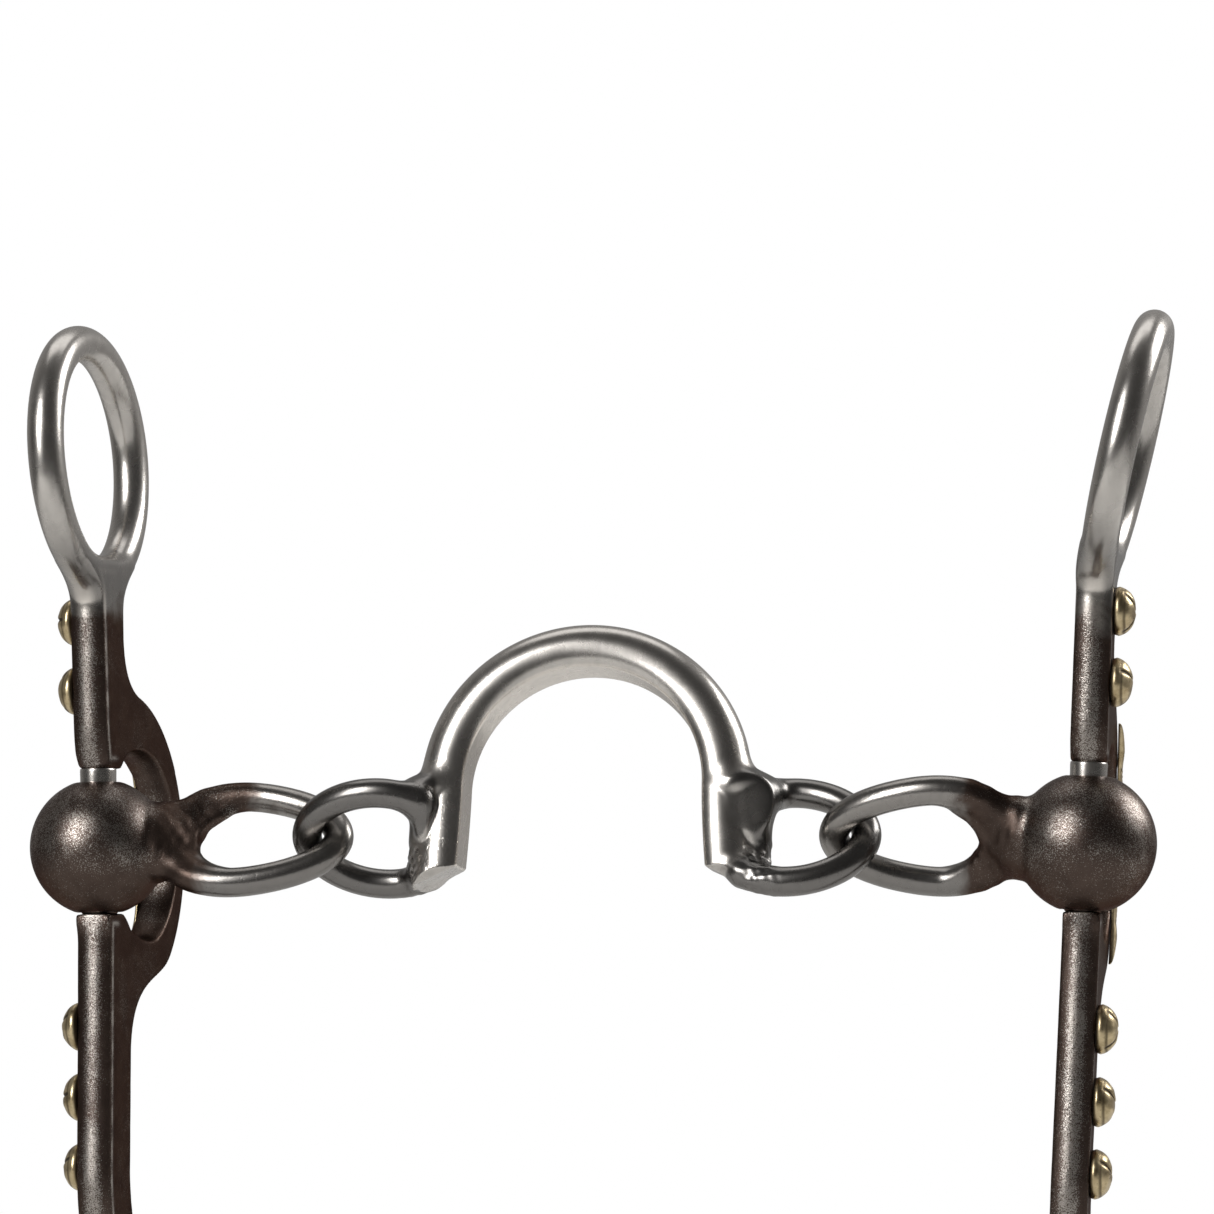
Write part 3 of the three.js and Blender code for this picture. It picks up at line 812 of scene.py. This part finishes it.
class Flat:
    """A plane distance field of a polygon, sampled once and read back smoothly."""

    def __init__(self, polygon, cell=0.2, margin=3.0):
        self.low = polygon.min(0) - margin
        self.cell = cell
        self.n = np.ceil((polygon.max(0) + margin - self.low) / cell).astype(int) + 1
        ys, zs = (self.low[i] + cell * np.arange(self.n[i]) for i in range(2))
        y, z = (g.ravel() for g in np.meshgrid(ys, zs, indexing="ij"))
        best = np.full(len(y), 1e9)
        inside = np.zeros(len(y), bool)
        for (y0, z0), (y1, z1) in zip(polygon, np.roll(polygon, -1, axis=0)):
            dy, dz = y1 - y0, z1 - z0
            length = dy * dy + dz * dz
            if length < 1e-9:
                continue
            t = np.clip(((y - y0) * dy + (z - z0) * dz) / length, 0, 1)
            np.minimum(best, (y - y0 - t * dy) ** 2 + (z - z0 - t * dz) ** 2, out=best)
            if z0 != z1:
                crossed = (z0 > z) != (z1 > z)
                inside ^= crossed & (y < y0 + (z - z0) / dz * dy)
        self.grid = (np.sqrt(best) * np.where(inside, -1, 1)).reshape(self.n)

    def __call__(self, y, z):
        a = (y - self.low[0]) / self.cell
        b = (z - self.low[1]) / self.cell
        i = np.clip(a.astype(int), 0, self.n[0] - 2)
        j = np.clip(b.astype(int), 0, self.n[1] - 2)
        s, t = np.clip(a - i, 0, 1), np.clip(b - j, 0, 1)
        g = self.grid
        near = g[i, j] * (1 - s) * (1 - t) + g[i + 1, j] * s * (1 - t)
        far = g[i, j + 1] * (1 - s) * t + g[i + 1, j + 1] * s * t
        beyond = np.hypot(a - i - s, b - j - t) * self.cell
        return near + far + beyond


cheek_plan = Flat(cheek_outline())
# a box round the whole cheek, a little larger than it is
CHEEK_LOW, CHEEK_HIGH = [-4, -20, eye_centre[1] - EYE_RADIUS - 1], [4, 36, RING_CENTRE + 20]
CHEEK_CELL = 0.32


def cheek_steel(p):
    """The plate with crowned edges, its eye, and the headstall ring flowing out of its neck."""
    x, y, z = p.T
    half = PLATE_THICKNESS / 2
    # the edges are crowned, the near one most, but hardly at all where the ball sits
    seat = np.exp(-(((np.abs(z) - 10.0) / 1.7) ** 2)) * ramp(y, 7, 4)
    crown = (0.45 + 0.5 * ramp(y, 0, -3)) * (1 - 0.9 * seat)
    crown = crown * np.minimum(np.abs(x) / half, 1.2) ** 2
    lip = 0.32
    side = cheek_plan(y, z) + crown + lip
    face = np.abs(x) - half + lip
    outside = np.hypot(np.maximum(side, 0), np.maximum(face, 0))
    plate = outside + np.minimum(np.maximum(side, face), 0) - lip
    from_eye = np.hypot(y - eye_centre[0], z - eye_centre[1])
    plate = overlap(plate, EYE_HOLE_RADIUS - from_eye + 0.5 * (x / half) ** 2, 0.5)
    # the upper shank is drawn down to the pin
    taper = np.hypot(x, np.minimum(y, 0)) - PIN_RADIUS - 0.1 - 0.42 * np.maximum(z - PIN_TOP, 0)
    plate = overlap(plate, np.where(z > 0, taper, -5), 0.5)
    droop = np.where(z < RING_CENTRE, (z - RING_CENTRE) / 1.05, z - RING_CENTRE)
    ring = np.hypot(np.hypot(y, droop) - RING_RADIUS, x) - RING_BAR_RADIUS
    return overlap(unite(plate, ring, 2.2), np.abs(x) - half - 0.08, 0.3)


# both cheeks are placed from this one skin
cheek_points, cheek_quads = skin(cheek_steel, CHEEK_LOW, CHEEK_HIGH, CHEEK_CELL)
cheek_edge, cheek_crevice = convexity(cheek_steel, cheek_points, 0.6)


class Cheek:
    """Where one cheek stands; its headstall ring is bent outward."""

    def __init__(self, side):
        self.out, self.flare = side["out"], math.radians(side["flare"])
        self.swivel, self.lean = math.radians(-side["swivel"]), math.radians(side["lean"])
        reach = side["bearing"] - LINK_OVERLAP + BALL_LINK_LENGTH
        self.origin = np.array([self.out * reach, 0, 0])

    def rows(self, p):
        """The points as rows of the row frame."""
        p = np.asarray(p, float)
        bent = self.out * self.flare * ramp(p[:, 2], FLARE_PIVOT - 3, FLARE_PIVOT + 5)
        p = turn(p, (0, 1, 0), bent, (0, 0, FLARE_PIVOT))
        return turn(turn(p, (0, 0, 1), self.swivel), (0, 1, 0), self.lean) + self.origin


def revolve(profile, segments):
    """Points and faces of (radius, height) pairs turned about Z, with a flat end at each end."""
    ring = np.linspace(0, 2 * math.pi, segments, endpoint=False)
    rows = [(r * np.cos(ring), r * np.sin(ring), np.full(segments, h)) for r, h in profile]
    points = np.concatenate([np.stack(row, 1) for row in rows])
    faces = grid_faces(len(profile), segments)
    faces.append(tuple(range(segments - 1, -1, -1)))
    faces.append(tuple(range(len(points) - segments, len(points))))
    return points, faces


def build_pin(side, place):
    """The round pin through the ball, with a faint collar at its top and a browned foot."""
    r, soft = PIN_RADIUS, 0.25
    profile = [(r - soft, PIN_BOTTOM), (r, PIN_BOTTOM + soft), (r, 0), (r, PIN_TOP - 1.3)]
    profile += [(r + 0.02, PIN_TOP - 0.4), (r, PIN_TOP - 0.1), (r - 0.1, PIN_TOP)]
    points, faces = revolve(profile, 64)
    facts = steel_facts(len(points), browned=ramp(points[:, 2], 4.0, -4.0), darkened=0.35)
    name = side["name"]
    body, nodes = f"{name}_cheek_assembly", [f"{name}_hinge_pin"]
    rows = place.rows(points)
    piece(f"{name}_pin", rows, faces, body, nodes, bit_steel, facts)


def build_cheek(side, place):
    x, y, z = cheek_points.T
    # the browning stops raggedly at the neck and wears thin along the rounded near edge
    low, high = (29.5, 35.0) if side["out"] < 0 else (22.0, 40.0)
    browned = 1 - ramp(z, low, high) * ramp(y, 0, -3) - ramp(z, 24, 42) * ramp(y, -3, 0)
    depth = -cheek_plan(y, z)
    # bright specks crowd the near edge: wear, and a painted highlight down the strip
    near_edge = ramp(depth, 0.9, 0.2) * ramp(np.abs(x), 1.9, 0.6) * (0.15 + 0.85 * ramp(y, 3, 0))
    # the two corners beside the near edge are rubbed along a fine line, which is also a painted
    # highlight along the corner
    corner = np.exp(-(((np.abs(x) - 2.42) / 0.2) ** 2) - ((depth - 1.45) / 0.35) ** 2)
    corner = corner * ramp(y, 2, 0)
    wear_and_highlight_line = corner * (0.7 + 0.5 * ripple(cheek_points, 3.0, 21))
    facts = steel_facts(
        len(cheek_points),
        browned=browned,
        darkened=0.85 * (1 - ramp(z, 33, 50)),
        edge=np.maximum(cheek_edge * ramp(z, 50, 36), wear_and_highlight_line),
        # the slot's walls and other hollows are darkened, a painted shade
        crevice=cheek_crevice * 0.7,
        rubbed=(0.25 + 0.95 * near_edge + 1.5 * corner) * ramp(z, 42, 30),
        pitted=0.05,
    )
    name = side["name"]
    body, nodes = f"{name}_cheek_assembly", [f"{name}_cheek_plate", f"{name}_headstall_ring"]
    rows = place.rows(cheek_points)
    piece(f"{name}_cheek_steel", rows, cheek_quads, body, nodes, bit_steel, facts)


def stud_centres():
    """Two studs above the ball and three below, evenly spaced, and two round the bend."""
    centres = [(shank_middle, height) for height in STUD_HEIGHTS]
    for i in range(1, HIDDEN_STUDS + 1):
        past = i * STUD_SPACING - (STUD_HEIGHTS[-1] - BEND_START)
        centres.append(on(bend_centre, math.pi + past / BEND_RADIUS, BEND_RADIUS))
    return centres


STUD_RINGS, STUD_SEGMENTS = 44, 96
STUD_SEAT = PLATE_THICKNESS / 2 + GAP * 0.2


def stud_relief(number, spin, hub, share, x, y):
    """(rise, cut) over a dome: its height in millimetres and the depth of its cuts, 0 to 1."""
    cap = STUD_HEIGHT * 0.97 * np.sqrt(np.clip(1 - (share / 1.02) ** 2.3, 0, 1))
    lip = 0.32 + 0.10 * np.exp(-(((share - 0.97) / 0.03) ** 2))
    cut = np.zeros_like(x)
    dx, dy = x - hub[0], y - hub[1]
    for arm in range(3):
        way = spin + arm * 2 * math.pi / 3
        bow = 0.35 * math.sin(way * 2 + number)
        along = dx * math.cos(way) + dy * math.sin(way)
        off = -dx * math.sin(way) + dy * math.cos(way) - bow * (along / STUD_RADIUS) ** 2
        width = 0.16 + 0.05 * np.clip(along, 0, 3)
        groove = np.exp(-((off / width) ** 2)) * (along > -0.05) * ramp(share, 0.99, 0.85)
        cut = np.maximum(cut, groove)
    uneven = ripple(np.stack([x, y, 0 * x], -1).reshape(-1, 3), 1.7, number).reshape(x.shape)
    rise = np.maximum(cap, lip) - 0.24 * cut + 0.035 * uneven
    return np.clip(rise, 0.12, STUD_HEIGHT), cut


def build_studs(side, place):
    """Engraved domes: three cuts meet off centre, with a thin rolled rim round the foot."""
    name, out = side["name"], side["out"]
    share = np.linspace(0, 1, STUD_RINGS)[:, None]
    angle = np.linspace(0, 2 * math.pi, STUD_SEGMENTS, endpoint=False)
    radius = STUD_RADIUS * 0.985 * share
    x, y = radius * np.cos(angle), radius * np.sin(angle)
    foot = STUD_RADIUS * 0.93 * np.stack([0 * angle, np.cos(angle), np.sin(angle)], -1)
    rim = np.exp(-(((share - 0.9) / 0.05) ** 2))
    # the points are the dome's rings, its foot and its middle, in that order
    middle = STUD_RINGS * STUD_SEGMENTS
    faces = grid_faces(STUD_RINGS, STUD_SEGMENTS)
    faces += [(middle, j, (j + 1) % STUD_SEGMENTS) for j in range(STUD_SEGMENTS)]
    faces.append(tuple(range(middle - STUD_SEGMENTS, middle)))

    def laid(values, at_foot):
        return np.concatenate([values[1:].ravel(), np.full(STUD_SEGMENTS, at_foot), values[0, :1]])

    for number, centre in enumerate(stud_centres(), 1):
        rng = np.random.default_rng(100 * (out + 2) + number)
        spin = rng.uniform(-0.5, 0.5) + (0.3 if out > 0 else 2.6)
        hub = rng.uniform(-0.25, 0.25, 2)
        rise, cut = stud_relief(number, spin, hub, share, x, y)
        top = np.stack([rise, x, y], -1)
        points = np.concatenate([top[1:].reshape(-1, 3), foot, top[0, :1]])
        points[:, 0] = out * (points[:, 0] + STUD_SEAT)
        points += [0, *centre]
        facts = {
            # the cuts take dark patina and a ring near the foot is darkened; the foot is darkened
            # as painted shade under the dome
            "crevice": laid(np.maximum(cut, 0.55 * rim), 0.9),
            "edge": laid(0.6 * (1 - share) + 0 * x, 0.0),
        }
        node = f"{name}_stud_{number}"
        body, rows = f"{name}_cheek_assembly", place.rows(points)
        dome = f"{node}_dome"
        made = piece(dome, rows, faces, body, [node], antique_brass, facts)
        face_outward(made)


OVERLAY_SPANS, OVERLAY_RIBS = 420, 26
OVERLAY_SWEEP = math.radians(50.5)
OVERLAY_SEAT = PLATE_THICKNESS / 2 + GAP * 0.3
ROPE_PITCH = math.radians(2.1)


def build_overlay(side, place):
    """The engraved brass crescent: a rope-cut outer edge that dies into smooth leaf tips."""
    name, out = side["name"], side["out"]
    # u runs from tip to tip, v from the inner edge to the outer
    u = np.linspace(-1, 1, OVERLAY_SPANS)[:, None]
    v = np.linspace(0, 1, OVERLAY_RIBS)[None, :]
    turned = u * OVERLAY_SWEEP
    rope = np.abs(np.sin(math.pi * (turned / ROPE_PITCH + v * 2.1)))
    leaf = ramp(np.abs(u), 0.62, 0.78)
    rope_share = ramp(v, 0.50, 0.62) * (1 - leaf)
    width = 4.1 * (1 - np.abs(u) ** 2.2) ** 0.75 + 0.02
    radius = CRESCENT_RADIUS - 0.65 - width * (1 - v) - 0.22 * rope_share * (1 - rope) ** 2
    y = CRESCENT_CENTRE + radius * np.cos(turned)
    z = 0.5 + radius * np.sin(turned)

    # its engraving: a line between scrolls and rope, and a vein along each leaf
    dome = np.sin(np.pi * np.clip(v, 0.0, 1.0)) ** 0.5
    uncut = 0.22 + 0.75 * dome * (0.6 + 0.4 * leaf) * np.sqrt(np.clip(1 - np.abs(u) ** 8, 0, 1))
    vein = np.exp(-(((v - 0.5) / 0.07) ** 2)) * leaf * ramp(np.abs(u), 0.99, 0.9)
    line = np.exp(-(((v - 0.5) / 0.05) ** 2)) * (1 - leaf)
    scroll = 0.5 + 0.5 * np.sin(turned * 26 + 5 * np.sin(v * 7) + 3.0 * np.cos(turned * 9))
    scroll = np.clip(scroll * 4 - 3.0, 0, 1)
    scroll = scroll * ramp(v, 0.06, 0.16) * ramp(v, 0.46, 0.38) * (1 - leaf)
    cut = np.clip(rope_share * (1 - rope) ** 2 * 1.2 + line + 0.8 * vein + 0.7 * scroll, 0, 1)
    rise = np.clip(uncut - 0.26 * cut, 0.15, OVERLAY_THICKNESS)

    # the front, the same grid laid flat behind it, and a band of faces round the edge
    front = np.stack([rise, y, z], -1).reshape(-1, 3)
    points = np.vstack([front, front * [0, 1, 1]])
    size, last = len(front), OVERLAY_RIBS - 1
    faces = grid_faces(OVERLAY_SPANS, OVERLAY_RIBS, wrap_columns=False)
    faces += [tuple(size + i for i in f[::-1]) for f in faces]
    border = [*range(OVERLAY_RIBS), *range(OVERLAY_RIBS + last, size, OVERLAY_RIBS)]
    border += [*range(size - 2, size - OVERLAY_RIBS - 1, -1)]
    border += [*range(size - 2 * OVERLAY_RIBS, 0, -OVERLAY_RIBS)]
    faces += [(b, a, size + a, size + b) for a, b in zip(border, border[1:] + border[:1])]
    high = 0.75 * rope * rope_share + 0.35 * leaf
    facts = {
        # the engraving takes dark patina; the back, and so the lower sides, are darkened as
        # painted shade against the plate
        "crevice": np.concatenate([cut.ravel(), np.full(size, 0.6)]),
        "edge": np.concatenate([high.ravel(), np.zeros(size)]),
    }
    points[:, 0] = out * (points[:, 0] + OVERLAY_SEAT)
    node = f"{name}_crescent_overlay"
    body, rows = f"{name}_cheek_assembly", place.rows(points)
    made = piece(f"{node}_brass", rows, faces, body, [node], antique_brass, facts)
    face_outward(made)


def build_rein_ring(side, place):
    """A ring of round rod, butt welded with a slight dressed swelling."""
    around, across = 220, 36
    t = np.linspace(0, 2 * math.pi, around, endpoint=False)[:, None]
    s = np.linspace(0, 2 * math.pi, across, endpoint=False)[None, :]
    weld = np.exp(-(((t - 4.5) / 0.09) ** 2))
    r = REIN_WIRE_RADIUS * (0.985 + 0.015 * weld)
    ring = REIN_RING_RADIUS + r * np.cos(s)
    drop = eye_centre[1] - REIN_WIRE_DROP - REIN_RING_RADIUS
    x, y, z = ring * np.cos(t), eye_centre[0] + r * np.sin(s), drop + ring * np.sin(t)
    points = np.stack([x, y, z], -1).reshape(-1, 3)
    faces = grid_faces(around, across, wrap_rows=True)
    welded = (weld + 0 * s).ravel()
    facts = steel_facts(len(points), darkened=0.2, crevice=0.25 * welded, pitted=0.4 * welded)
    name = side["name"]
    body, node, rows = f"{name}_rein", f"{name}_rein_ring", place.rows(points)
    made = piece(f"{node}_steel", rows, faces, body, [node], bit_steel, facts)
    face_outward(made)


build_mouthpiece()
for side in SIDES:
    place = Cheek(side)
    build_link(side)
    build_cheek(side, place)
    build_pin(side, place)
    build_studs(side, place)
    build_overlay(side, place)
    build_rein_ring(side, place)


# ---- studio ----
def look_matrix(position, target):
    """Where a lamp or camera stands and how it is turned to face its target."""
    back = (Vector(position) - Vector(target)).normalized()
    right = Vector((0, 0, 1)).cross(back).normalized()
    up = back.cross(right)
    made = Matrix((right, up, back)).transposed().to_4x4()
    made.translation = position
    return made


def softbox(name, position, target, width, height, power):
    data = bpy.data.lights.new(name, "AREA")
    data.shape = "RECTANGLE"
    data.size, data.size_y = width, height
    data.energy = power
    made = bpy.data.objects.new(name, data)
    made.matrix_world = look_matrix(position, target)
    bpy.context.scene.collection.objects.link(made)


def studio():
    """A paper floor just below the bit, and three soft lamps."""
    floor_z = cad_bounds[0].z - 0.002
    reach, cells = 0.62, 24
    grid = np.linspace(-reach, reach, cells + 1)
    points = [(x, y, floor_z) for x in grid for y in grid]
    mesh = bpy.data.meshes.new("floor")
    mesh.from_pydata(points, [], grid_faces(cells + 1, cells + 1, wrap_columns=False))
    floor = bpy.data.objects.new("floor", mesh)
    bpy.context.scene.collection.objects.link(floor)
    n = Nodes("floor_paper")
    n.out(Base_Color=(0.86, 0.86, 0.85, 1), Roughness=0.9)
    mesh.materials.append(n.material)

    softbox("key_left", (-0.60, -1.02, 0.52), (0, 0, 0), 0.34, 0.72, 12)
    softbox("rim_right", (0.80, 0.48, 0.58), (0, 0, 0.02), 0.5, 0.5, 6)
    softbox("top", (-0.1, 0.35, 1.0), (0, 0, 0), 0.9, 0.5, 1.6)


def surroundings():
    """A pale room that is darker on the camera's side, so that the steel has something to show."""
    world = bpy.data.worlds.new("studio")
    bpy.context.scene.world = world
    world.use_nodes = True
    tree = world.node_tree
    tree.nodes.clear()

    def add(kind, **settings):
        node = tree.nodes.new(kind)
        for key, value in settings.items():
            setattr(node, key, value)
        return node

    way = add("ShaderNodeTexCoord").outputs["Generated"]
    split = add("ShaderNodeSeparateXYZ")
    tree.links.new(way, split.inputs[0])
    back = add("ShaderNodeMapRange", interpolation_type="SMOOTHSTEP")
    tree.links.new(split.outputs["Y"], back.inputs["Value"])
    # the room's strength rises with the world's Y, from behind the camera to beyond the bit
    for end, direction, strength in (("Min", -0.45, 0.06), ("Max", 0.75, 0.30)):
        back.inputs[f"From {end}"].default_value = direction
        back.inputs[f"To {end}"].default_value = strength
    room = add("ShaderNodeBackground")
    room.inputs["Color"].default_value = (1.0, 0.985, 0.97, 1)
    tree.links.new(back.outputs["Result"], room.inputs["Strength"])
    # the camera itself sees plain white
    seen = add("ShaderNodeBackground")
    seen.inputs["Color"].default_value = WHITE
    seen.inputs["Strength"].default_value = 1.0
    mix = add("ShaderNodeMixShader")
    tree.links.new(add("ShaderNodeLightPath").outputs["Is Camera Ray"], mix.inputs[0])
    tree.links.new(room.outputs[0], mix.inputs[1])
    tree.links.new(seen.outputs[0], mix.inputs[2])
    tree.links.new(mix.outputs[0], add("ShaderNodeOutputWorld").inputs["Surface"])


def camera():
    """The camera stands level with the bit, a little to its right, and looks slightly upward."""
    distance, azimuth, elevation = 0.700, math.radians(9.78), math.radians(-1.4)
    target = (0.0024, 0.0004, 0.0325)
    level = math.cos(elevation)
    way = (math.sin(azimuth) * level, -math.cos(azimuth) * level, math.sin(elevation))
    data = bpy.data.cameras.new("camera")
    data.lens, data.sensor_width = 152.4, 36
    data.clip_start, data.clip_end = 0.05, 20
    made = bpy.data.objects.new("camera", data)
    made.matrix_world = look_matrix(distance * Vector(way), target)
    bpy.context.scene.collection.objects.link(made)
    bpy.context.scene.camera = made


studio()
surroundings()
camera()
bpy.context.scene.view_settings.view_transform = "Standard"
